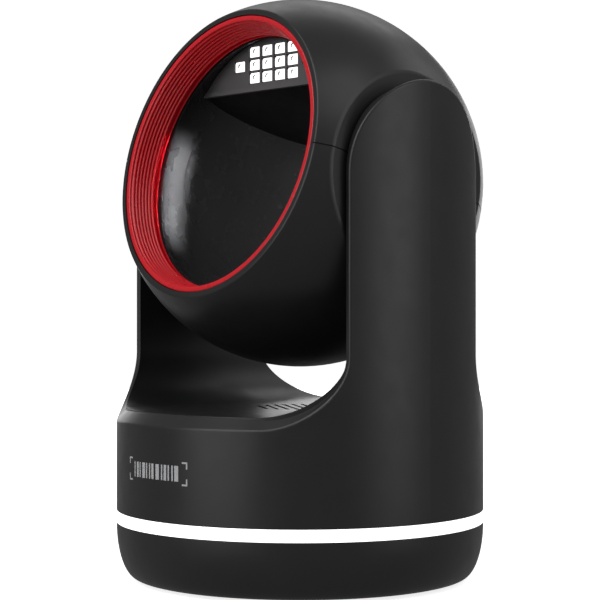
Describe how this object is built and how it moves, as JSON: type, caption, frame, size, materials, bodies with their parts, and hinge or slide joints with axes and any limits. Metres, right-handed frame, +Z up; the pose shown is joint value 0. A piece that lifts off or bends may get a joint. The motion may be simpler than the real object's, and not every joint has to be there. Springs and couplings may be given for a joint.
{
  "type": "barcode scanner",
  "caption": "Desktop presentation barcode scanner: a ball-shaped head with a round scan mouth tilts between two arms of a heavy round base with a glowing band.",
  "frame": {"origin": "centre of the base on the surface that the feet stand on", "axes": "+Z up, the scan mouth faces -Y, the arms stand at +X and -X"},
  "size_m": [0.096, 0.096, 0.1512],
  "materials": {
    "black_abs": "fine satin moulded black ABS",
    "black_gloss": "semi-gloss moulded black ABS",
    "red_abs": "semi-gloss moulded red ABS",
    "frosted_white": "frosted light-spreading polycarbonate",
    "grey_panel": "matte moulded grey plastic",
    "lamp_white": "lamp package, white",
    "steel": "zinc-plated steel",
    "screw_steel": "black zinc-plated steel",
    "rubber": "soft moulded rubber",
    "board_green": "glass-fibre board with solder mask",
    "chip_black": "moulded epoxy",
    "connector_cream": "moulded nylon",
    "jack_black": "moulded glass-filled nylon",
    "contact_gold": "gold-plated spring wire",
    "speaker_paper": "pressed paper pulp",
    "flex_amber": "polyimide flat cable",
    "bushing_white": "moulded acetal",
    "smoked_window": "smoked acrylic, polished",
    "lens_glass": "coated optical glass"
  },
  "bodies": {
    "base": {"outer_housing": "black_abs", "saddle_cover": "black_abs", "light_ring": "frosted_white", "bottom_cover": "black_abs", "ballast_plate": "steel", "rubber_feet": "rubber", "bottom_screws": "screw_steel", "main_board": "board_green", "board_chips": "chip_black", "board_connectors": "connector_cream", "board_screws": "screw_steel", "cable_jack": "jack_black", "jack_contacts": "contact_gold", "speaker_frame": "chip_black", "speaker_cone": "speaker_paper", "light_board": "board_green", "ring_lamps": "lamp_white", "right_hinge_bracket": "steel", "left_hinge_bracket": "steel", "right_hinge_pin": "steel", "left_hinge_pin": "steel", "bracket_screws": "screw_steel", "retaining_rings": "steel", "friction_washers": "steel", "arm_flex": "flex_amber"},
    "head": {"head_upper_shell": "black_abs", "head_lower_shell": "black_abs", "head_screws": "screw_steel", "right_hinge_bushing": "bushing_white", "left_hinge_bushing": "bushing_white", "red_collar": "red_abs", "inner_bowl": "black_gloss", "led_panel": "grey_panel", "illumination_leds": "lamp_white", "illumination_board": "board_green", "led_shelf": "black_abs", "scan_window": "smoked_window", "camera_body": "chip_black", "camera_lens": "lens_glass", "aiming_lamp": "lens_glass", "camera_board": "board_green", "head_flex": "flex_amber"}
  },
  "joints": [
    {"name": "head_tilt", "type": "hinge", "parent": "base", "child": "head", "pos_m": [0, 0, 0.1032], "axis": [1, 0, 0], "range_deg": [-20, 25]}
  ]
}
